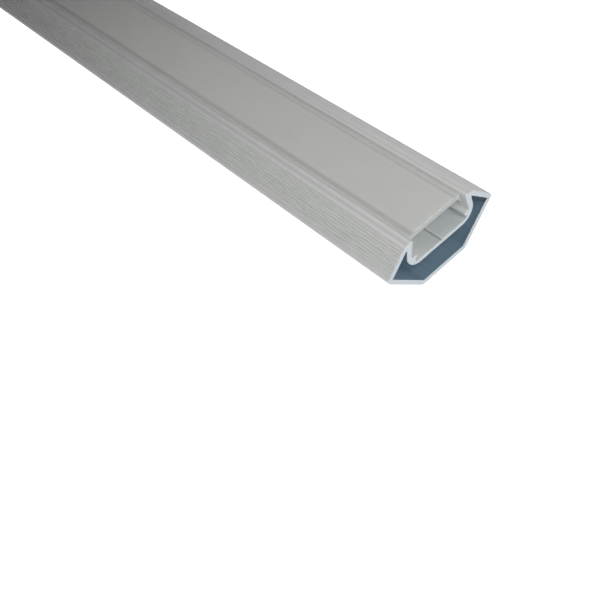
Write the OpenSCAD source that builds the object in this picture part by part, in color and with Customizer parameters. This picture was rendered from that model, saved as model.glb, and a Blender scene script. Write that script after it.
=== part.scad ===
// 45 degree corner profile for LED strip, with its snap-in diffuser cover.
//
// The length lies along X. The section is drawn in the Y-Z plane: Y across
// the profile, Z up from the narrow base face that it lies on. The origin is
// the middle of the length, on the base face. The two legs of the square
// section rise from the base at 45 degrees, and the open front faces up.

/* [Stock] */
// Length of the cut piece
length = 1000; // [250:50:3000]
// Side of the square that the section is cut from
leg = 19; // [18:0.5:24]
// Width of the narrow base face, which cuts off the back corner
base_width = 11.1; // [10:0.1:13]

/* [Walls] */
// Thickness of the two legs
leg_wall = 1.0; // [0.9:0.05:1.5]
// Thickness of the wall behind the base face
base_wall = 1.1; // [0.9:0.05:1.5]
// Thickness of the two grooved side walls
side_wall = 0.95; // [0.8:0.05:1.2]
// Thickness of the web that carries the strip
web_wall = 0.8; // [0.6:0.05:1]
// Thickness of the hook on each side of the channel
hook_wall = 1.1; // [0.9:0.05:1.4]

/* [Rounding] */
// Radius on the two outer corners
corner_round = 0.9; // [0.2:0.1:0.9]
// Radius between the legs and the base face
base_round = 1.0; // [0.2:0.1:1.5]
// Radius on the bends from the side walls into the lips
edge_round = 0.25; // [0.1:0.05:0.3]
// Radius on the inner edges of the lips, next to the cover
tip_round = 0.05; // [0.05:0.05:0.3]
// Radius on the inside corners of the chamber
inner_round = 0.15; // [0.05:0.05:0.4]

/* [Channel] */
// Height of the strip seat above the base face
seat_height = 7.4; // [6.5:0.1:9]
// Width of the strip that lies on the seat
strip_width = 12; // [8:1:15]
// Clearance at each edge of the strip
strip_clear = 0.4; // [0.2:0.05:0.4]
// Height of the slots that hold the edges of the strip
slot_height = 1.0; // [0.6:0.1:1.2]
// Thickness of the ledges over those slots
ledge_thick = 0.6; // [0.4:0.05:0.8]
// How far each ledge reaches over the strip's slot
ledge_reach = 0.4; // [0.2:0.05:0.8]
// Clearance on each side of the strip as it passes between the lips
mouth_clear = 0.6; // [0.4:0.05:0.8]
// Width of the front of each lip
lip_width = 1.87; // [1.6:0.01:2.4]
// Height of the upright tip of each lip
lip_tip = 0.7; // [0.5:0.05:0.9]
// How far the channel widens on each side below the lips
undercut = 0.6; // [0.3:0.05:0.7]
// Width of the fine guide line along the middle of the seat
guide_width = 0.36; // [0.2:0.02:0.6]
// Depth of that guide line
guide_depth = 0.3; // [0.1:0.05:0.3]

/* [Grooves] */
// Number of fine grooves along each side wall
groove_count = 9; // [1:1:9]
// Depth of the fine grooves
groove_depth = 0.18; // [0.05:0.01:0.2]
// Distance from the outer corner to the wide first groove
first_groove = 1.2; // [1.2:0.02:1.28]
// Distance from the outer corner to the first fine groove
second_groove = 1.92; // [1.9:0.02:2.2]
// Distance from the last fine groove to the bend into the lip
last_groove = 0.48; // [0.4:0.02:0.8]
// Width of the raised rim along each lip
rim_width = 1.05; // [0.8:0.05:1.2]
// Height of that rim above the rest of the lip
rim_step = 0.2; // [0.1:0.05:0.3]
// Width of the slanted step on the outside of the rim
rim_slant = 0.3; // [0.1:0.05:0.35]

/* [Cover] */
// Thickness of the cover's flat plate
cover_thick = 1.0; // [0.8:0.1:1.2]
// Clearance between the cover and the lips
cover_clear = 0.03; // [0.02:0.01:0.2]
// How far the cover's ends sit back from the profile's ends
cover_setback = 1.1; // [0:0.1:3]
// Width of the hollow cove along each edge of the cover
cove_width = 1.45; // [1:0.05:1.8]
// Depth of that cove below the flat front
cove_depth = 0.42; // [0.1:0.02:0.46]
// Width of the steep side of the cove
cove_side = 0.6; // [0.3:0.05:0.8]
// Thickness of the cover's two snap legs
snap_thick = 0.6; // [0.4:0.05:0.8]
// How much of the slope under each lip a snap leg reaches down
snap_reach = 0.6; // [0.4:0.05:0.9]

/* [Hidden] */
$fn = 48;
root2 = sqrt(2);

// The two outer corners, where the legs meet the side walls
corner_y = leg / root2;
base_y = base_width / 2;
corner_z = corner_y - base_y;

// The two lips. The strip passes between them, and the bend lies on the side wall
mouth_y = strip_width / 2 + mouth_clear;
bend_y = mouth_y + lip_width;
bend_z = corner_y + corner_z - bend_y;
front_height = bend_z + rim_step;
lip_z = front_height - lip_tip;

// The inside lines of the leg (y - z) and of the side wall (y + z)
leg_line = base_y - root2 * leg_wall;
side_line = corner_y + corner_z - root2 * side_wall;

// The channel
pocket_y = mouth_y + undercut;
slot_y = strip_width / 2 + strip_clear;
ledge_y = slot_y - ledge_reach;
ledge_z = seat_height + slot_height;
pocket_z = ledge_z + ledge_thick;
slope_start = 0.3;
slope_z = pocket_z + slope_start * (lip_z - pocket_z);
guide_y = guide_width / 2;

// Curves of the channel. The bend under the lip's slope stays inside the upright
// wall below it, and the nose of each ledge leaves room for the slot's corner
pocket_round = 0.25;
slope_lean = atan(undercut / (lip_z - slope_z));
widest_bend = 2.0;
bend_share = 0.9;
upright = slope_z - pocket_z - pocket_round;
pocket_bend = min(widest_bend, bend_share * upright / tan(slope_lean / 2));
slot_round = 0.1;
slot_floor_round = 0.4;
nose_share = 0.48;
flat_left = 0.01;
ledge_nose = min(nose_share * ledge_thick, ledge_reach - slot_round - flat_left);

// The curved outside of the channel, seen from the chamber
hook_radius = 3.1;
hook_lean = 0.35;
web_z = seat_height - web_wall;
hook_y = pocket_y + hook_wall - hook_radius;
hook_z = web_z + hook_radius;
apex_y = pocket_y + hook_wall - hook_lean;

// The fine grooves share out the wall between the second one and the last
wall_length = root2 * (corner_y - bend_y);
groove_pitch = (wall_length - second_groove - last_groove) / max(groove_count - 1, 1);
widest_mouth = 0.34;
mouth_share = 0.8;
groove_mouth = min(widest_mouth, mouth_share * groove_pitch);
wide_mouth = 0.58;
wide_depth = 0.18;

// The cover, between the lips
cover_y = mouth_y - cover_clear;
cover_length = length - 2 * cover_setback;
cove_y = cover_y - cove_width;
cove_low_y = cove_y + cove_side;
cove_round = 0.3;
plate_z = front_height - cover_thick;

// The snap legs lean outwards along the slope under the lips. A wedge
// strengthens each leg where it leaves the plate
snap_out = snap_reach * undercut;
snap_z = lip_z - snap_reach * (lip_z - slope_z);
snap_round = 0.15;
wedge_width = 0.5;
wedge_drop = 0.1;

aluminium = [0.74, 0.75, 0.75];
frosted = [0.86, 0.87, 0.86];

// Mirror half an outline about the middle and join the two halves
function mirrored(half) = concat(half,
    [for (i = [len(half) - 1:-1:0]) [-half[i][0], half[i][1]]]);

// A corner rounded by an arc of radius r between the lines to a and b
function fillet(a, p, b, r, steps = 5) =
    let (
        ua = (a - p) / norm(a - p),
        ub = (b - p) / norm(b - p),
        half = acos(ua * ub) / 2,
        bisector = (ua + ub) / norm(ua + ub),
        centre = p + bisector * r / sin(half),
        start = p + ua * r / tan(half) - centre,
        stop = p + ub * r / tan(half) - centre,
        side = sign(start[0] * stop[1] - start[1] * stop[0]),
        turn = side * (180 - 2 * half)
    )
    [for (i = [0:steps])
        let (w = turn * i / steps)
        centre + [start[0] * cos(w) - start[1] * sin(w),
                  start[0] * sin(w) + start[1] * cos(w)]];

// A shallow V groove, its mouth centred at p on a line running along dir
function groove(p, dir, mouth, depth) =
    let (inward = [-dir[1], dir[0]])
    [p - dir * mouth / 2, p + inward * depth, p + dir * mouth / 2];

// Points on the half outline of the outside, from the base to the lip
base_edge = [base_y, 0];
corner = [corner_y, corner_z];
bend = [bend_y, bend_z];
rim_low = [mouth_y + rim_width, bend_z];
rim_top = [mouth_y + rim_width - rim_slant, front_height];
lip = [mouth_y, front_height];
up_wall = [-1, 1] / root2;

function wall_point(s) = corner + up_wall * s;

side_grooves = concat(
    groove(wall_point(first_groove), up_wall, wide_mouth, wide_depth),
    [for (i = [0:groove_count - 1])
        each groove(wall_point(second_groove + i * groove_pitch),
                    up_wall, groove_mouth, groove_depth)]);

outside = concat(
    fillet([0, 0], base_edge, corner, base_round),
    fillet(base_edge, corner, bend, corner_round, 8),
    side_grooves,
    fillet(corner, bend, rim_low, edge_round),
    [rim_low],
    fillet(rim_low, rim_top, lip, rim_step / 2));

// Points of the channel, from the lip's tip down to the middle of the seat
lip_low = [mouth_y, lip_z];
pocket_top = [pocket_y, slope_z];
pocket_low = [pocket_y, pocket_z];
ledge_top = [ledge_y, pocket_z];
ledge_low = [ledge_y, ledge_z];
slot_top = [slot_y, ledge_z];
slot_low = [slot_y, seat_height];

channel = concat(
    fillet(rim_top, lip, lip_low, tip_round),
    [lip_low],
    fillet(lip_low, pocket_top, pocket_low, pocket_bend),
    fillet(pocket_top, pocket_low, ledge_top, pocket_round),
    fillet(pocket_low, ledge_top, ledge_low, ledge_nose),
    fillet(ledge_top, ledge_low, slot_top, ledge_nose),
    fillet(ledge_low, slot_top, slot_low, slot_round),
    fillet(slot_top, slot_low, [0, seat_height], slot_floor_round),
    [[guide_y, seat_height], [0, seat_height - guide_depth]]);

// Points of the closed chamber behind the seat
chamber_base = [base_wall + leg_line, base_wall];
chamber_corner = [(side_line + leg_line) / 2, (side_line - leg_line) / 2];
chamber_top = [apex_y, side_line - apex_y];
hook_side = [hook_y + hook_radius, hook_z];

web_curve = [for (a = [0:-7.5:-90])
    [hook_y, hook_z] + hook_radius * [cos(a), sin(a)]];

chamber = concat(
    fillet([0, base_wall], chamber_base, chamber_corner, inner_round),
    fillet(chamber_base, chamber_corner, chamber_top, inner_round),
    fillet(chamber_corner, chamber_top, hook_side, inner_round),
    web_curve);

// Half outline of the cover, from the middle of its top to its underside
cove_top = [cove_y, front_height];
cove_low = [cove_low_y, front_height - cove_depth];
snap_root = [cover_y, lip_z];
snap_tip = [cover_y + snap_out, snap_z];
snap_in = [cover_y + snap_out - snap_thick, snap_z];
wedge_low = [cover_y - snap_thick, plate_z - wedge_drop];
wedge_end = [wedge_low[0] - wedge_width, plate_z];

// The cove rises in a parabola from its lowest line to the edge of the cover
cove_curve = [for (u = [0:0.125:1])
    [cove_low_y + (cover_y - cove_low_y) * u, front_height - cove_depth * (1 - u * u)]];

cover_half = concat(
    fillet([0, front_height], cove_top, cove_low, cove_round),
    cove_curve,
    [snap_root],
    fillet(snap_root, snap_tip, snap_in, snap_round),
    fillet(snap_tip, snap_in, wedge_low, snap_round),
    [wedge_low, wedge_end]);

// Lay a section down, so that it runs along X with its height along Z
module along_x(run) {
    rotate([90, 0, 90])
        linear_extrude(height = run, center = true)
            children();
}

module profile() {
    color(aluminium)
        along_x(length)
            difference() {
                polygon(mirrored(concat(outside, channel)));
                polygon(mirrored(chamber));
            }
}

module diffuser_cover() {
    color(frosted)
        along_x(cover_length)
            polygon(mirrored(cover_half));
}

profile();
diffuser_cover();
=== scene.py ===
# %% [markdown]
# # A corner profile for LED strip, with its frosted cover
#
# This is one metre of aluminium extrusion. Its section is a square standing on
# a corner: two plain legs at right angles go into the corner of a cabinet or a
# room, and the open front looks out at 45 degrees. Behind the front a strip of
# LEDs lies on a thin seat, a milky cover snaps in over it, and a closed
# chamber runs along the back.
#
# The frame holds the two solids at their real size, in metres. The length lies
# along X, Y goes across, and Z goes up from the narrow base face. The whole bar
# could be drawn again by hand, but starting from the solids keeps every size
# true, so the work here is edges, a burr, finishes and light.

# %% Load the frame and keep its box
import math

import bpy
from mathutils import Matrix, Vector


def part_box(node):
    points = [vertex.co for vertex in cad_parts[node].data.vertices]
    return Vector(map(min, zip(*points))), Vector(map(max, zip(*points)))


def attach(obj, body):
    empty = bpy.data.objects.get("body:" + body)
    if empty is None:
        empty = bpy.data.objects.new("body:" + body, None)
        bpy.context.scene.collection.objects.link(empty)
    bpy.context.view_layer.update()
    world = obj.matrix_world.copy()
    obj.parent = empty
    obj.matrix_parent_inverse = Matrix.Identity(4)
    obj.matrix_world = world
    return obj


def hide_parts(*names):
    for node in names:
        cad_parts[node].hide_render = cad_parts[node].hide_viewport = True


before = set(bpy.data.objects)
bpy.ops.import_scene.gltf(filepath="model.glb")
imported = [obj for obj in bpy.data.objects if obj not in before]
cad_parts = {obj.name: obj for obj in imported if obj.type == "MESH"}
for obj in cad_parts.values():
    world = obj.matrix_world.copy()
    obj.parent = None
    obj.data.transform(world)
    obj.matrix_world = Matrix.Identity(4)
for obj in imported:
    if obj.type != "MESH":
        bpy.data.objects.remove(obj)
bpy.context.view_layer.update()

MM = 0.001
print("solids:", sorted(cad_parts))

# %% [markdown]
# ## The sizes that matter
#
# Most of the work below sorts faces by where they are in the section. That
# could be done by clicking on them, but a script needs a rule, so the few lines
# that describe the section are named first. The legs follow
# z = |y| - LEG_LINE and the grooved side walls follow z = SIDE_LINE - |y|. The
# channel's curved outside, the hook, is an arc about a centre on each side.

# %% Name the section's lines
profile_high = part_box("profile")[1]
END_X = profile_high.x
TOP_Z = profile_high.z
DIAGONAL = math.sqrt(2)
LEG = 19 * MM
LEG_LINE = 5.55 * MM
CORNER_Y = LEG / DIAGONAL
CORNER_Z = CORNER_Y - LEG_LINE
SIDE_LINE = CORNER_Y + CORNER_Z
HOOK_Y, HOOK_Z, HOOK_RADIUS = 5.2 * MM, 9.7 * MM, 3.1 * MM
print("length in mm:", round(2 * END_X / MM, 1))
print("width over the corners in mm:", round(2 * profile_high.y / MM, 2))

# %% [markdown]
# ## The camera
#
# The near end fills the middle of the view and the length runs off the top left
# corner, so the camera is close: about 16 cm from the end. It could be turned
# with three angles, but they are hard to picture. So it is placed by its
# position and by the two directions it looks along and holds level, which also
# gives it the slight roll of a hand-held camera.

# %% Place the camera
PAST_END, TO_THE_SIDE, ABOVE = 74.56 * MM, -67.96 * MM, 123.15 * MM
SENSOR_WIDTH, FOCAL_LENGTH = 36, 51.68
NEAREST_SEEN = 0.01

camera_place = Vector((END_X + PAST_END, TO_THE_SIDE, ABOVE))
looks_along = Vector((-0.5639, 0.2859, -0.7748)).normalized()
right_side = Vector((0.6477, 0.7351, -0.2002))
right_side = (right_side - looks_along * right_side.dot(looks_along)).normalized()
upward = right_side.cross(looks_along)

camera = bpy.data.objects.new("camera", bpy.data.cameras.new("camera"))
bpy.context.scene.collection.objects.link(camera)
turned = Matrix((right_side, upward, -looks_along)).transposed()
camera.matrix_world = Matrix.Translation(camera_place) @ turned.to_4x4()
camera.data.sensor_width = SENSOR_WIDTH
camera.data.lens = FOCAL_LENGTH
camera.data.clip_start = NEAREST_SEEN
bpy.context.scene.camera = camera
print("camera to the near end in mm:",
      round((camera_place - Vector((END_X, 0, 0))).length / MM, 1))

# %% [markdown]
# ## Small helpers for working in edit mode
#
# Operators act on whatever is selected, as they do by hand, so each step starts
# from nothing selected. Edges and points could be picked by their number, but
# numbers change with every edit, so they are picked by a test on their place.

# %% Helpers for picking and editing
def only(piece):
    """Select this piece alone and make it active."""
    bpy.ops.object.select_all(action="DESELECT")
    piece.select_set(True)
    bpy.context.view_layer.objects.active = piece


def edit(piece, kind="FACE"):
    """Go into edit mode with nothing selected."""
    only(piece)
    bpy.ops.object.mode_set(mode="EDIT")
    bpy.ops.mesh.select_mode(type=kind)
    bpy.ops.mesh.select_all(action="DESELECT")


def done():
    """Come back to object mode."""
    bpy.ops.object.mode_set(mode="OBJECT")


def pick_edges(piece, test):
    """Select the edges whose two ends pass a test, and stay in edit mode."""
    done()
    points = piece.data.vertices
    for edge in piece.data.edges:
        edge.select = all(test(points[i].co) for i in edge.vertices)
    bpy.ops.object.mode_set(mode="EDIT")
    return sum(edge.select for edge in piece.data.edges)


def pick_points(piece, test):
    """Select the points that pass a test, and stay in edit mode."""
    done()
    for point in piece.data.vertices:
        point.select = test(point.co)
    bpy.ops.object.mode_set(mode="EDIT")


print("helpers ready: only, edit, done, pick_edges, pick_points")

# %% [markdown]
# ## The two long pieces
#
# The body is pushed through a die in one piece, and so is the cover. Their
# outlines could be traced and extruded again, but the section is already exact
# in the frame's solids, so a copy of each is the best start. A solid arrives as
# a skin of loose triangles. In the copy they are sewn together, and the flat
# ones are joined into strips as long as the bar.

# %% Copy and sew the solids
SAME_POINT = 0.001 * MM
SAME_PLANE = math.radians(0.05)


def sewn_copy(node, name):
    piece = bpy.data.objects.new(name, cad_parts[node].data.copy())
    piece.data.name = name
    bpy.context.scene.collection.objects.link(piece)
    edit(piece)
    bpy.ops.mesh.select_all(action="SELECT")
    bpy.ops.mesh.remove_doubles(threshold=SAME_POINT)
    bpy.ops.mesh.dissolve_limited(angle_limit=SAME_PLANE)
    done()
    print(name, "has", len(piece.data.polygons), "faces after sewing")
    return piece


body = sewn_copy("profile", "body")
cover = sewn_copy("diffuser_cover", "cover")

# %% [markdown]
# ### The sawn edges
#
# A saw leaves an edge that catches the light, and a thumb across it finds it is
# not perfectly sharp. A Bevel modifier would also round the long corners, which
# have their own radius, so the bevel operator is used on the edges at both ends
# only, a few hundredths of a millimetre wide. Shading is then smoothed only
# across small angles, so the rounded corners look round and the grooves stay
# crisp.

# %% Break the sawn edges and smooth the round parts
AT_THE_END = 0.01 * MM
LOOKS_ROUND = math.radians(25)
COVER_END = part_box("diffuser_cover")[1].x


def break_end_edges(piece, end, width):
    edit(piece, "EDGE")
    count = pick_edges(piece, lambda p: abs(abs(p.x) - end) < AT_THE_END)
    bpy.ops.mesh.bevel(offset=width, segments=1, affect="EDGES", clamp_overlap=True)
    done()
    only(piece)
    bpy.ops.object.shade_smooth_by_angle(angle=LOOKS_ROUND)
    print(piece.name, "edges broken:", count)


break_end_edges(body, END_X, 0.03 * MM)
break_end_edges(cover, COVER_END, 0.05 * MM)

# %% [markdown]
# ## The burr that the saw left
#
# The blade came out on one side of the near end, and there it pushed a ragged
# fringe of metal into the chamber: coarse teeth under the side wall and a finer
# wobble along the leg. Random teeth would do, but two sine waves that never
# fall in step look just as uneven and come out the same every time. Every other
# point is a tip, and the points between stay back.

# %% How far each point of a fringe is pulled in
TIP_FORWARD, GAP_BACK, GAP_LIMIT = 0.55, 0.3, -0.3


def tooth_pull(k, root, reach):
    """The pull on point k, for a fringe this deep with teeth this long."""
    uneven = reach * (0.35 + 0.3 * math.sin(2.3 * k) + 0.35 * math.sin(5.1 * k + 1))
    if k % 2:
        return uneven + reach * TIP_FORWARD
    return max(uneven - reach * GAP_BACK, root * GAP_LIMIT)


print("first pulls for 1 mm teeth:", [round(tooth_pull(k, 1, 1), 2) for k in range(1, 7)])

# %% [markdown]
# A bumpy finish can't give teeth that stand free of the wall, and a sculpted
# fringe is slow to repeat. So each fringe starts as a narrow grid along the
# inner edge. It could be scaled, turned and moved in three steps, but the edge
# slants, so one matrix says where the grid's length, depth and back point.

# %% Lay a grid along an inner edge
def lay_grid(name, middle, along, inner, steps, root):
    """A grid as long as along and as deep as root, from the edge with this middle."""
    bpy.ops.object.select_all(action="DESELECT")
    bpy.ops.mesh.primitive_grid_add(x_subdivisions=steps, y_subdivisions=2, size=2)
    piece = bpy.context.object
    piece.name = piece.data.name = name
    axes = Matrix((along / 2, inner * root / 2, Vector((MM, 0, 0)))).transposed()
    piece.matrix_world = Matrix.Translation(middle + inner * root / 2) @ axes.to_4x4()
    bpy.ops.object.transform_apply(location=True, rotation=True, scale=True)
    print(name, "starts as a grid of", len(piece.data.polygons), "faces")
    return piece


# %% [markdown]
# The points of the grid's free side are pulled in one by one, as they would be
# by hand, and then Solidify gives the sheet the thickness of foil. Extruding
# each tooth from the wall would look the same and take many more steps. The
# sheet stays just behind the cut, so that it never stands proud of the end.

# %% Pull out the teeth of a fringe
BURR_X = END_X - 0.06 * MM
FOIL = 0.09 * MM


def fringe(name, start, stop, inward, teeth, root, reach):
    """start and stop are (y, z) points; root and reach are in metres."""
    along = Vector((0, stop[0] - start[0], stop[1] - start[1]))
    inner = Vector((0, *inward)).normalized()
    middle = Vector((BURR_X, (start[0] + stop[0]) / 2, (start[1] + stop[1]) / 2))
    steps = 2 * teeth
    piece = lay_grid(name, middle, along, inner, steps, root)
    origin, direction = Vector((BURR_X, *start)), along.normalized()
    edit(piece, "VERT")
    for k in range(1, steps):
        here = along.length * k / steps
        pick_points(piece, lambda p: (p - origin).dot(inner) > root * 0.9
                    and abs((p - origin).dot(direction) - here) < along.length / steps / 3)
        bpy.ops.transform.translate(value=inner * tooth_pull(k, root, reach))
        bpy.ops.mesh.select_all(action="DESELECT")
    done()
    foil = piece.modifiers.new("foil", "SOLIDIFY")
    foil.thickness = FOIL
    foil.offset = 0
    bpy.ops.object.modifier_apply(modifier=foil.name)
    edit(piece)
    bpy.ops.mesh.select_all(action="SELECT")
    bpy.ops.mesh.normals_make_consistent(inside=False)
    done()
    print(name, "teeth:", teeth, "faces:", len(piece.data.polygons))
    return piece


# %% [markdown]
# ### Where the two fringes sit
#
# The two meet in the chamber's outer corner, where the side wall joins the leg.
# Their corners could be measured and typed in, but working them out from the
# walls keeps the burr on the metal if a wall is changed. The inner faces are
# the outer ones moved in by a wall, which is a wall times the root of two when
# it is measured straight up.

# %% Lay the two fringes
SIDE_WALL, LEG_WALL = 0.95 * MM, 1.0 * MM
LIP_UNDER = 12.03 * MM
FROM_BASE = 0.4 * MM

side_in = SIDE_LINE - DIAGONAL * SIDE_WALL
leg_in = LEG_LINE - DIAGONAL * LEG_WALL
corner_in = ((side_in + leg_in) / 2, (side_in - leg_in) / 2)
apex_in = (side_in - LIP_UNDER, LIP_UNDER)
base_in = (LEG_LINE - FROM_BASE, LEG_LINE - FROM_BASE - leg_in)

wall_burr = fringe("wall_burr", corner_in, apex_in, inward=(-1, -1), teeth=7,
                   root=0.26 * MM, reach=0.5 * MM)
leg_burr = fringe("leg_burr", base_in, corner_in, inward=(-1, 1), teeth=13,
                  root=0.08 * MM, reach=0.16 * MM)

# %% [markdown]
# ## Building materials from nodes
#
# Every finish below is a tree of nodes. It could be wired by hand in the
# shader editor, and a script does the same with much more typing, so a few
# helpers keep it short. The first two add a node and fill its inputs, each with
# a number or with a link from another node.

# %% Helpers that add and fill a node
def fill(tree, node, key, value):
    """Put a number in an input, or link it if the value is another socket."""
    socket = node.inputs[int(key)] if key.isdigit() else node.inputs[key]
    if isinstance(value, bpy.types.NodeSocket):
        tree.links.new(value, socket)
    else:
        socket.default_value = value


def add(tree, kind, **inputs):
    """Add a node and fill its inputs. An underscore stands for a space."""
    node = tree.nodes.new(kind)
    for key, value in inputs.items():
        fill(tree, node, key.replace("_", " "), value)
    return node


print("helpers ready: fill, add")

# %% [markdown]
# Most of a finish is small sums: a mask times an amount, a value stretched to
# a new range, one colour laid over another. Each of these is one or two nodes,
# and a helper for each lets a finish be read from top to bottom like a recipe.

# %% Helpers for sums, ranges and colours
def maths(tree, operation, a, b=0.0):
    node = tree.nodes.new("ShaderNodeMath")
    node.operation = operation
    fill(tree, node, "0", a)
    fill(tree, node, "1", b)
    return node.outputs[0]


def spread(tree, value, from_low, from_high, to_low=0.0, to_high=1.0):
    """Stretch a value from one range to another, held inside the new range."""
    node = add(tree, "ShaderNodeMapRange", Value=value, From_Min=from_low,
               From_Max=from_high, To_Min=to_low, To_Max=to_high)
    return node.outputs["Result"]


def blend(tree, amount, under, over):
    """Go from one colour to another by an amount from 0 to 1."""
    node = tree.nodes.new("ShaderNodeMix")
    node.data_type = "RGBA"
    fill(tree, node, "0", amount)
    for key, colour in (("6", under), ("7", over)):
        linked = isinstance(colour, bpy.types.NodeSocket)
        fill(tree, node, key, colour if linked else (*colour, 1))
    return node.outputs[2]


def layer(tree, mask, amount, under, over):
    """Lay a colour over another where a mask is, up to an amount."""
    return blend(tree, maths(tree, "MULTIPLY", mask, amount), under, over)


print("helpers ready: maths, spread, blend, layer")

# %% [markdown]
# Patterns here are all noise, pulled out along the bar or left even. An image
# of brushed metal would do too, but it shows where it repeats and stretches at
# the corners. Noise read from the place on the piece has no seams.

# %% Helpers for patterns
def stretched(tree, vector, x, y, z):
    """Scale a vector along each axis, to draw a pattern out or squeeze it."""
    return add(tree, "ShaderNodeMapping", Vector=vector, Scale=(x, y, z)).outputs[0]


def noise(tree, vector, scale, detail=2.0, rough=0.5):
    return add(tree, "ShaderNodeTexNoise", Vector=vector, Scale=scale, Detail=detail,
               Roughness=rough).outputs["Fac"]


print("helpers ready: stretched, noise")

# %% [markdown]
# ### Groups
#
# Die lines, grain and saw marks turn up in several finishes. They could be
# wired again in each, but a group is made once, has named sockets, and takes
# its own values wherever it is used.

# %% Helpers for groups
FLOAT, VECTOR = "NodeSocketFloat", "NodeSocketVector"


def new_group(name, values, outputs):
    """Start a group that reads a place and some values. Returns its tree and ends."""
    tree = bpy.data.node_groups.new(name, "ShaderNodeTree")
    tree.interface.new_socket("Place", in_out="INPUT", socket_type=VECTOR)
    for label, value in values.items():
        socket = tree.interface.new_socket(label, in_out="INPUT", socket_type=FLOAT)
        socket.default_value = value
    for label in outputs:
        tree.interface.new_socket(label, in_out="OUTPUT", socket_type=FLOAT)
    print("group:", name, "takes", ["Place", *values])
    given = tree.nodes.new("NodeGroupInput").outputs
    return tree, given, tree.nodes.new("NodeGroupOutput")


def use_group(tree, group, **inputs):
    """Place a group in a material and fill its inputs. Returns its outputs."""
    node = tree.nodes.new("ShaderNodeGroup")
    node.node_tree = group
    for key, value in inputs.items():
        fill(tree, node, key.replace("_", " "), value)
    return node.outputs


# %% [markdown]
# ### Lines from the die
#
# Hot metal pushed through a steel die comes out with fine lines along its whole
# length, some sharp and some broad. Scratches could be drawn one by one, but a
# noise that is stretched a thousand times longer than it is wide gives both
# sorts at once, because every size of line runs straight down the bar.

# %% Group: die lines
ALONG_THE_BAR = 0.0012
BROAD_SCALE = 0.17

die_lines, given, result = new_group("die lines", {"Spacing mm": 0.3}, ["Fine", "Broad"])
drawn_out = add(die_lines, "ShaderNodeVectorMath")
drawn_out.operation = "SCALE"
fill(die_lines, drawn_out, "0", stretched(die_lines, given["Place"], ALONG_THE_BAR, 1, 1))
fill(die_lines, drawn_out, "Scale", maths(die_lines, "DIVIDE", 1 / MM, given["Spacing mm"]))
fine = noise(die_lines, drawn_out.outputs[0], 1.0, 3.0, 0.65)
broad = noise(die_lines, drawn_out.outputs[0], BROAD_SCALE, 1.0, 0.5)
fill(die_lines, result, "Fine", spread(die_lines, fine, 0.3, 0.7))
fill(die_lines, result, "Broad", spread(die_lines, broad, 0.35, 0.65))
print("a broad line is this many fine ones wide:", round(1 / BROAD_SCALE, 1))

# %% [markdown]
# ### Satin grain
#
# Before anodising, the metal is etched in a bath, which leaves an even, very
# fine matt grain. The frosting of the cover looks much the same. Dots
# would look printed, so two sizes of plain noise do for both: one like fine
# sand and one for faint clouds.

# %% Group: satin grain
satin_grain, given, result = new_group(
    "satin grain", {"Grain mm": 0.12, "Cloud mm": 6.0}, ["Grain", "Cloud"])
grain_scale = maths(satin_grain, "DIVIDE", 1 / MM, given["Grain mm"])
cloud_scale = maths(satin_grain, "DIVIDE", 1 / MM, given["Cloud mm"])
grain = noise(satin_grain, given["Place"], grain_scale, 2.0, 0.6)
cloud = noise(satin_grain, given["Place"], cloud_scale, 3.0, 0.6)
fill(satin_grain, result, "Grain", spread(satin_grain, grain, 0.3, 0.7))
fill(satin_grain, result, "Cloud", spread(satin_grain, cloud, 0.35, 0.65))
print("nodes in it:", len(satin_grain.nodes))

# %% [markdown]
# ### Saw marks
#
# A round saw blade leaves shallow arcs across the end, all about the centre of
# the blade. Straight stripes would look planed, so rings of a wave about a far
# point draw them, and a little distortion keeps them from looking ruled.

# %% Group: saw marks
BLADE_CENTRE = Vector((0, -0.11, 0.09))
RINGS_PER_SCALE = 0.31

saw_marks, given, result = new_group("saw marks", {"Pitch mm": 0.3}, ["Marks"])
from_blade = add(saw_marks, "ShaderNodeMapping", Vector=given["Place"],
                 Location=-BLADE_CENTRE).outputs[0]
ring_scale = maths(saw_marks, "DIVIDE", RINGS_PER_SCALE / MM, given["Pitch mm"])
ring = add(saw_marks, "ShaderNodeTexWave", Vector=from_blade, Scale=ring_scale,
           Distortion=1.2, Detail=2.0, Detail_Scale=1.5)
ring.wave_type = "RINGS"
ring.rings_direction = "X"
fill(saw_marks, result, "Marks", ring.outputs["Fac"])
print("blade centre to the end in mm:", round(BLADE_CENTRE.length / MM))

# %% [markdown]
# ### Bare metal beside the cut
#
# The blade drags the anodised skin off the last few tenths of a millimetre
# before the end, so a bright, slightly ragged line follows the cut. It could be
# painted on the corners, but the mask only needs the distance from the nearer
# end, broken up with some grain, and then it fits the cover's ends as well.
# There it lays a faint painted highlight along the cut.

# %% Group: cut edge
RAGGED_SCALE = 2500.0

cut_edge, given, result = new_group(
    "cut edge", {"Half length": 0.5, "Width mm": 0.2}, ["Mask"])
x_place = add(cut_edge, "ShaderNodeSeparateXYZ", Vector=given["Place"]).outputs["X"]
from_end = maths(cut_edge, "SUBTRACT", given["Half length"],
                 maths(cut_edge, "ABSOLUTE", x_place))
ragged = spread(cut_edge, noise(cut_edge, given["Place"], RAGGED_SCALE, 2.0, 0.6),
                0.3, 0.7, 0.3, 1.6)
width = maths(cut_edge, "MULTIPLY", given["Width mm"], MM)
from_end = maths(cut_edge, "DIVIDE", from_end, maths(cut_edge, "MULTIPLY", width, ragged))
fill(cut_edge, result, "Mask", spread(cut_edge, from_end, 0.6, 1.2, 1.0, 0.0))
print("nodes in it:", len(cut_edge.nodes))
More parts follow.
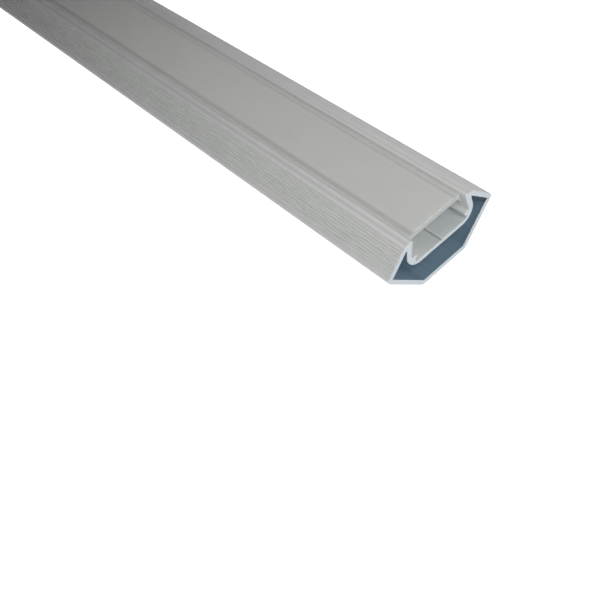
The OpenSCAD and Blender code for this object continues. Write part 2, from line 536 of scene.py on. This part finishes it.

# %% [markdown]
# ### Lines of painted shade
#
# The foot of the raised rim and the steep sides of the cover's coves are darker
# lines along the whole bar, and so is the guide line down the seat. The shapes
# are in the mesh, but the soft light fills them in. A harder lamp would bring
# them out and spoil the even face, so a faint painted shade helps them, with a
# painted highlight beside the guide line. The tone stays the same under any
# light. Its mask is a soft band at one place across the bar, and it counts only
# above a height, so that the legs underneath stay clean.

# %% Group: long line
long_line, given, result = new_group(
    "long line", {"Middle mm": 5.0, "Half width mm": 0.3, "Above mm": 12.0}, ["Mask"])
parts = add(long_line, "ShaderNodeSeparateXYZ", Vector=given["Place"]).outputs
side_mm = maths(long_line, "DIVIDE", parts["Y"], MM)
height_mm = maths(long_line, "DIVIDE", parts["Z"], MM)
away = maths(long_line, "ABSOLUTE",
             maths(long_line, "SUBTRACT", side_mm, given["Middle mm"]))
away = maths(long_line, "DIVIDE", away, given["Half width mm"])
band = spread(long_line, away, 0.4, 1.0, 1.0, 0.0)
high_up = maths(long_line, "GREATER_THAN", height_mm, given["Above mm"])
fill(long_line, result, "Mask", maths(long_line, "MULTIPLY", band, high_up))
print("nodes in it:", len(long_line.nodes))

# %% [markdown]
# ## The finishes
#
# The aluminium has four: the anodised outside, the two sawn ends, the closed
# chamber and the channel that holds the strip. One finish with masks for all of
# them would be hard to read, so each has a material of its own. Every one
# starts the same way, with a shader and the object's own coordinates, and ends
# by giving the shader its colour, roughness, share of metal and bump.

# %% Start and end a material
def start(name):
    material = bpy.data.materials.new(name)
    material.use_nodes = True
    tree = material.node_tree
    place = tree.nodes.new("ShaderNodeTexCoord").outputs["Object"]
    return material, tree, tree.nodes["Principled BSDF"], place


def dress(material, shader, colour, rough, metal=0.0):
    links = material.node_tree.links
    links.new(colour, shader.inputs["Base Color"])
    links.new(rough, shader.inputs["Roughness"])
    shader.inputs["Metallic"].default_value = metal
    print("finish:", material.name, "share of metal:", metal)


def add_bump(tree, shader, height, depth_mm, strength):
    bump = add(tree, "ShaderNodeBump", Height=height, Strength=strength,
               Distance=depth_mm * MM)
    tree.links.new(bump.outputs[0], shader.inputs["Normal"])


# %% [markdown]
# ### The anodised outside
#
# Anodising grows a thin, clear, slightly milky layer on etched aluminium, and
# the result is a soft silver that never mirrors a thing. Pure metal would show
# the room in it and pure paint would look dead, so the shader is a quarter
# metal with a middling roughness. Die lines, faint clouds, a line of painted
# shade at the rim's foot and the bare edge beside the cut are laid over the
# base colour one after the other.

# %% The anodised outside
def make_anodised():
    dark, pale = (0.695, 0.705, 0.695), (0.765, 0.775, 0.76)
    broad_tone, cloud_tone = (0.645, 0.655, 0.645), (0.79, 0.80, 0.785)
    rim_foot_shade_tone, bare_metal = (0.40, 0.41, 0.40), (0.84, 0.86, 0.87)
    material, tree, shader, place = start("anodised skin")
    lines = use_group(tree, die_lines, Place=place, Spacing_mm=0.22)
    satin = use_group(tree, satin_grain, Place=place, Grain_mm=0.1, Cloud_mm=7.0)
    foot = use_group(tree, long_line, Place=place, Middle_mm=-7.75, Half_width_mm=0.35,
                     Above_mm=12.5)
    edge = use_group(tree, cut_edge, Place=place, Half_length=END_X, Width_mm=0.16)
    base = blend(tree, lines["Fine"], dark, pale)
    base = layer(tree, lines["Broad"], 0.35, base, broad_tone)
    base = layer(tree, satin["Cloud"], 0.3, base, cloud_tone)
    # Painted shade along the foot of the raised rim, on the -Y side only.
    base = layer(tree, foot["Mask"], 0.26, base, rim_foot_shade_tone)
    base = blend(tree, edge["Mask"], base, bare_metal)
    dress(material, shader, base, spread(tree, satin["Grain"], 0, 1, 0.42, 0.56), metal=0.25)
    height = maths(tree, "ADD", maths(tree, "MULTIPLY", satin["Grain"], 0.5), lines["Fine"])
    add_bump(tree, shader, height, depth_mm=0.01, strength=0.5)
    return material


anodised = make_anodised()

# %% [markdown]
# ### The sawn end
#
# Nothing has been done to the cut, so it is bare metal with the arcs of the
# blade in it, a little bluer than the skin, and cloudy where the cut smeared.
# Real grooves would need thousands of faces, so the arcs are only colour and a
# slight bump, which is all that shows at this depth.

# %% The sawn end
def make_sawn():
    dark, pale, smear = (0.42, 0.47, 0.505), (0.505, 0.545, 0.575), (0.475, 0.495, 0.51)
    material, tree, shader, place = start("sawn end")
    marks = use_group(tree, saw_marks, Place=place, Pitch_mm=0.22)["Marks"]
    satin = use_group(tree, satin_grain, Place=place, Grain_mm=0.15, Cloud_mm=2.5)
    base = blend(tree, marks, dark, pale)
    base = layer(tree, satin["Cloud"], 0.5, base, smear)
    dress(material, shader, base, spread(tree, satin["Grain"], 0, 1, 0.32, 0.5), metal=0.25)
    height = maths(tree, "ADD", marks, maths(tree, "MULTIPLY", satin["Grain"], 0.4))
    add_bump(tree, shader, height, depth_mm=0.015, strength=0.6)
    return material


sawn = make_sawn()

# %% [markdown]
# ### The bent teeth
#
# The teeth of the coarse burr stick out over the chamber and look nearly black.
# Here they would catch the lamps in front, and the sawn finish would make them
# stand out bright. So they get a dark, dull finish of their own, mottled by the
# same grain, with almost no shine. It is a stand-in for shade, not a real dirt.

# %% The bent teeth of the burr
def make_swarf():
    dark, pale, mottle = (0.01, 0.02, 0.035), (0.04, 0.06, 0.085), (0.10, 0.13, 0.16)
    material, tree, shader, place = start("bent swarf")
    satin = use_group(tree, satin_grain, Place=place, Grain_mm=0.08, Cloud_mm=0.5)
    base = blend(tree, satin["Grain"], dark, pale)
    base = layer(tree, satin["Cloud"], 0.3, base, mottle)
    dress(material, shader, base, spread(tree, satin["Cloud"], 0, 1, 0.55, 0.8), metal=0.1)
    shader.inputs["Specular IOR Level"].default_value = 0.15
    add_bump(tree, shader, satin["Grain"], depth_mm=0.02, strength=0.6)
    return material


swarf = make_swarf()

# %% [markdown]
# ### The inside of the chamber
#
# The chamber is the same metal as the rest, in deep shade, streaked along its
# length. It looks slate blue, most likely from what it mirrors. A blue lamp
# shining in would do it, but would tint the sawn end as well. So the blue is a
# painted reflection, given as a colour, with die lines wider apart than
# outside, and it stays blue under any light. The colour is also darker than the
# skin's, so part of the shade is painted too.

# %% The inside of the chamber
def make_chamber():
    # A painted reflection in blue, darker than the skin as painted shade.
    dark, pale, cloud_tone = (0.235, 0.34, 0.425), (0.28, 0.395, 0.495), (0.21, 0.31, 0.38)
    material, tree, shader, place = start("chamber wall")
    lines = use_group(tree, die_lines, Place=place, Spacing_mm=0.5)
    satin = use_group(tree, satin_grain, Place=place, Grain_mm=0.2, Cloud_mm=3.0)
    base = blend(tree, lines["Fine"], dark, pale)
    base = layer(tree, satin["Cloud"], 0.4, base, cloud_tone)
    dress(material, shader, base, spread(tree, satin["Grain"], 0, 1, 0.4, 0.6), metal=0.3)
    add_bump(tree, shader, lines["Fine"], depth_mm=0.02, strength=0.4)
    return material


chamber_wall = make_chamber()

# %% [markdown]
# ### Two touches for the seat
#
# The seat looks a little darker from one side to the other, and it has a fine
# guide line down its middle. Lamps aimed under the cover could shade the seat,
# but they would light the walls too, so it has a painted shade, darker towards
# +Y. The line is real in the mesh, but too shallow to catch much light. Making
# it deeper would make the web too thin, so a band of painted shade on it and a
# painted highlight beside it bring it out.

# %% Tone and guide line on the seat
SEAT_BELOW, SEAT_EDGE = 7.8 * MM, 6 * MM
# The first band is painted shade on the guide line, the second a painted highlight beside
# it.
GUIDE_BANDS = ((-0.05, 0.32, (0.38, 0.40, 0.41)), (0.4, 0.24, (0.95, 0.97, 0.97)))


def shade_the_seat(tree, place, base):
    parts = add(tree, "ShaderNodeSeparateXYZ", Vector=place).outputs
    on_seat = maths(tree, "LESS_THAN", parts["Z"], SEAT_BELOW)
    across = spread(tree, parts["Y"], -SEAT_EDGE, SEAT_EDGE, 0.0, 0.5)
    return layer(tree, across, on_seat, base, (0.54, 0.61, 0.62))


def draw_guide_line(tree, place, base):
    for middle, half_width, tone in GUIDE_BANDS:
        guide = use_group(tree, long_line, Place=place, Middle_mm=middle,
                          Half_width_mm=half_width, Above_mm=6.9)
        base = layer(tree, guide["Mask"], 0.5, base, tone)
    return base


print("guide line bands:", len(GUIDE_BANDS))

# %% [markdown]
# ### The channel behind the cover
#
# The channel is anodised like the outside. A real cover lets a good part of the
# light through to it, and this one lets through less. A clearer cover would
# mend that but lose its even face. So the channel has a paler colour than the
# outside to make up for it, a smoother finish with fewer die lines, the two
# touches on the seat, and a few specks of swarf.

# %% The channel behind the cover
def make_channel():
    dark, pale, cloud_tone = (0.80, 0.83, 0.83), (0.90, 0.915, 0.91), (0.70, 0.75, 0.755)
    speck_tone, speck_scale = (0.25, 0.26, 0.27), 3000.0
    material, tree, shader, place = start("channel")
    lines = use_group(tree, die_lines, Place=place, Spacing_mm=0.35)
    satin = use_group(tree, satin_grain, Place=place, Grain_mm=0.25, Cloud_mm=2.0)
    base = blend(tree, lines["Fine"], dark, pale)
    base = shade_the_seat(tree, place, base)
    base = layer(tree, satin["Cloud"], 0.35, base, cloud_tone)
    base = draw_guide_line(tree, place, base)
    speck = spread(tree, noise(tree, place, speck_scale, 1.0, 0.4), 0.76, 0.80)
    base = blend(tree, speck, base, speck_tone)
    dress(material, shader, base, spread(tree, satin["Cloud"], 0, 1, 0.3, 0.42), metal=0.35)
    add_bump(tree, shader, lines["Fine"], depth_mm=0.015, strength=0.5)
    return material


channel_skin = make_channel()

# %% [markdown]
# ### The frosted cover
#
# The cover is extruded plastic, milky all through. It could be glass with a
# rough surface, but that is slow and shows the channel as a grey blur. Here
# light goes about a millimetre into the plastic and comes back out, which
# gives the same soft face with no shadows in it. Each cove gets a faint line of
# painted shade. The two amounts differ, because the lamps fill one side more
# than the other.

# %% The frosted cover
COVE_SHADES = ((-5.4, 0.3), (5.25, 0.16))
LIGHT_GOES_IN = MM


def make_frosted():
    dark, pale, cloud_tone = (0.60, 0.61, 0.595), (0.62, 0.627, 0.61), (0.65, 0.655, 0.64)
    cove_shade_tone, edge_highlight_tone = (0.34, 0.35, 0.34), (0.66, 0.67, 0.665)
    material, tree, shader, place = start("frosted plastic")
    lines = use_group(tree, die_lines, Place=place, Spacing_mm=0.6)
    satin = use_group(tree, satin_grain, Place=place, Grain_mm=0.14, Cloud_mm=9.0)
    edge = use_group(tree, cut_edge, Place=place, Half_length=COVER_END, Width_mm=0.25)
    base = blend(tree, lines["Fine"], dark, pale)
    base = layer(tree, satin["Cloud"], 0.35, base, cloud_tone)
    # Painted shade in each cove, stronger on the -Y side.
    for middle, amount in COVE_SHADES:
        cove = use_group(tree, long_line, Place=place, Middle_mm=middle,
                         Half_width_mm=0.5, Above_mm=12.0)
        base = layer(tree, cove["Mask"], amount, base, cove_shade_tone)
    # A faint painted highlight along the cover's cut ends.
    base = layer(tree, edge["Mask"], 0.15, base, edge_highlight_tone)
    dress(material, shader, base, spread(tree, satin["Grain"], 0, 1, 0.5, 0.66))
    shader.inputs["Subsurface Weight"].default_value = 0.6
    shader.inputs["Subsurface Radius"].default_value = (LIGHT_GOES_IN,) * 3
    shader.inputs["Subsurface Scale"].default_value = 1.0
    add_bump(tree, shader, satin["Grain"], depth_mm=0.012, strength=0.5)
    return material


frosted = make_frosted()

# %% [markdown]
# ### The cut end of the cover
#
# Where the cover is cut, the frost is gone and the bare plastic shows, a little
# darker and glassier than the face. It is the only part of the cover that
# shows how thick it is, so it has its own plain finish, with wide saw marks
# and no light inside it.

# %% The cut end of the cover
def make_cut_plastic():
    dark, pale, cloud_tone = (0.30, 0.315, 0.32), (0.36, 0.37, 0.37), (0.335, 0.35, 0.35)
    material, tree, shader, place = start("cut plastic")
    marks = use_group(tree, saw_marks, Place=place, Pitch_mm=0.3)["Marks"]
    satin = use_group(tree, satin_grain, Place=place, Grain_mm=0.2, Cloud_mm=2.0)
    base = blend(tree, marks, dark, pale)
    base = layer(tree, satin["Cloud"], 0.4, base, cloud_tone)
    dress(material, shader, base, spread(tree, satin["Grain"], 0, 1, 0.35, 0.5))
    add_bump(tree, shader, marks, depth_mm=0.01, strength=0.4)
    return material


cut_plastic = make_cut_plastic()

# %% [markdown]
# ## Put each finish on its faces
#
# A face of the body belongs to one of four places. Splitting the body into four
# pieces would open gaps in it, so it stays whole and each face is given the
# number of a finish. An end looks along X. The channel is whatever lies inside
# the curved wall, measured from the arc's centre. The chamber is what is left
# more than half a millimetre under the outside, and all the rest is skin.

# %% Sort the faces of the body
SKIN, END, CHAMBER, CHANNEL = range(4)
UNDER_SKIN = 0.5 * MM


def looks_along_bar(face):
    return abs(face.normal.x) > 0.5


def place_of(face):
    y, z = abs(face.center.y), face.center.z
    if looks_along_bar(face):
        return END
    from_arc = math.hypot(max(y - HOOK_Y, 0), max(HOOK_Z - z, 0))
    if from_arc < HOOK_RADIUS - UNDER_SKIN / 2 and z < TOP_Z - UNDER_SKIN / 2:
        return CHANNEL
    deep = (z > UNDER_SKIN and z < TOP_Z - UNDER_SKIN
            and z - y + LEG_LINE > UNDER_SKIN * DIAGONAL
            and SIDE_LINE - y - z > UNDER_SKIN * DIAGONAL)
    return CHAMBER if deep else SKIN


body.data.materials.clear()
for finish in (anodised, sawn, chamber_wall, channel_skin):
    body.data.materials.append(finish)
for face in body.data.polygons:
    face.material_index = place_of(face)
counts = [sum(f.material_index == k for f in body.data.polygons) for k in range(4)]
print("faces on skin, ends, chamber, channel:", counts)

# %% [markdown]
# The cover and the two fringes are simpler. The cover has its frosted face and
# its two cut ends, told apart by the way a face looks, and each fringe has one
# finish all over.

# %% Finish the cover and the burr
cover.data.materials.clear()
for finish in (frosted, cut_plastic):
    cover.data.materials.append(finish)
for face in cover.data.polygons:
    face.material_index = 1 if looks_along_bar(face) else 0
wall_burr.data.materials.append(swarf)
leg_burr.data.materials.append(sawn)
print("cut faces on the cover:", sum(f.material_index for f in cover.data.polygons))

# %% [markdown]
# ## Tie the pieces to the frame
#
# The cover is snapped in and nothing moves, so all of it rides on the one body.
# A cover that slid would need a joint of its own. The two long pieces stand for
# the frame's solids, which are then hidden.

# %% Ride and replace
for piece in (body, cover, wall_burr, leg_burr):
    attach(piece, "root")
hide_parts("profile")
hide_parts("diffuser_cover")

# %% [markdown]
# ## White to the camera
#
# The bar lies on a white top in a white room. A very bright lamp could wash
# both out to white, but it would wash out the bar too. So both only give off a
# little light. The Light Path node tells the camera's rays from the others, and
# the camera alone sees them as fully white, right out to the corners.

# %% A helper for what looks white
def white_to_camera(tree, strength, given_off):
    """Link a strength that is 1 to the camera and given_off to all else."""
    seen = tree.nodes.new("ShaderNodeLightPath").outputs["Is Camera Ray"]
    tree.links.new(spread(tree, seen, 0, 1, given_off, 1.0), strength)
    print("gives off", given_off, "of what the camera sees")


# %% [markdown]
# ## The top it lies on
#
# A plain matt top, a hair below the bar so that the two never flicker into each
# other. A backdrop with a curved sweep would hide the horizon as well, but the
# room is just as white, so there is no horizon to hide. Its own light fills the
# shade under the legs.

# %% The floor
FLOOR_Z = -0.02 * MM

bpy.ops.object.select_all(action="DESELECT")
bpy.ops.mesh.primitive_plane_add(size=12, location=(0, 0, FLOOR_Z))
floor = bpy.context.object
floor.name = "floor"
white = bpy.data.materials.new("white top")
white.use_nodes = True
paint = white.node_tree.nodes["Principled BSDF"]
paint.inputs["Base Color"].default_value = (0.93, 0.93, 0.93, 1)
paint.inputs["Roughness"].default_value = 0.9
paint.inputs["Emission Color"].default_value = (1, 1, 1, 1)
white_to_camera(white.node_tree, paint.inputs["Emission Strength"], 0.3)
floor.data.materials.append(white)

# %% [markdown]
# ## The room
#
# A dim white room gives every side of the bar a base level, so that no face
# goes black. It could be brighter and light the whole bar alone, but then the
# chamber would have no shade in it.

# %% The pale room
world = bpy.data.worlds.new("pale room")
bpy.context.scene.world = world
world.use_nodes = True
room = world.node_tree.nodes["Background"]
room.inputs["Color"].default_value = (1, 1, 1, 1)
white_to_camera(world.node_tree, room.inputs["Strength"], 0.11)

# %% [markdown]
# ## Softboxes
#
# A softbox is a square lamp that gives soft-edged shade, like a window. A sun
# would light the metre evenly, but here the light falls away along the bar, and
# only small lamps close to it do that. A lamp can be narrowed to a cone, so
# that it lights its own part and little else.

# %% A helper that hangs a softbox
def softbox(name, place, aim, size, power, cone=180):
    """place and aim are points in metres, power is in watts, cone in degrees."""
    place, aim = Vector(place), Vector(aim)
    lamp = bpy.data.lights.new(name, "AREA")
    lamp.size = size
    lamp.energy = power
    lamp.spread = math.radians(cone)
    box = bpy.data.objects.new(name, lamp)
    bpy.context.scene.collection.objects.link(box)
    box.visible_camera = False
    turn = (aim - place).normalized().to_track_quat("-Z", "Y")
    box.matrix_world = Matrix.Translation(place) @ turn.to_matrix().to_4x4()
    print(name, "hangs", round((aim - place).length, 2), "m away")


# %% [markdown]
# The main lamp hangs a hand's width before and over the near end, so the front
# is bright there and dims along the bar. A larger one low in front shines on the
# sawn end and into the openings. Three weak ones level out the lips, the far
# inner side of the channel and the grooved wall. One strong lamp could not
# light all of these without bleaching the lips.

# %% Hang the softboxes round the near end
near_end = (END_X - 0.015, 0, 0.01)
softbox("before the end", (END_X + 0.07, -0.01, 0.09), near_end, size=0.06, power=0.051)
softbox("low in front", (END_X + 0.30, 0.03, 0.10), near_end, size=0.2, power=0.55)
softbox("over the bar", (END_X - 0.04, -0.02, 0.15), (END_X - 0.04, -0.02, 0.01),
        size=0.09, power=0.014, cone=90)
softbox("beyond the bar", (END_X - 0.10, 0.09, 0.11), (END_X - 0.03, 0.008, 0.013),
        size=0.08, power=0.004, cone=90)
softbox("beside the wall", (END_X - 0.05, -0.15, 0.05), (END_X - 0.035, 0, 0.01),
        size=0.12, power=0.0055, cone=70)

# %% [markdown]
# The last two lamps hardly reach the near end. They are for someone who walks
# round the bar: without them its long rest and its far end would be nearly
# black. They could be left out of this one view, but a piece should look right
# from every side.

# %% Hang the softboxes for the rest of the bar
softbox("over the rest", (-0.13, -0.05, 0.4), (-0.13, 0, 0), size=0.45, power=0.5, cone=60)
softbox("before the far end", (-END_X - 0.2, 0.1, 0.15), (-END_X, 0, 0.01),
        size=0.1, power=0.2, cone=120)
bpy.context.scene.view_settings.view_transform = "Standard"
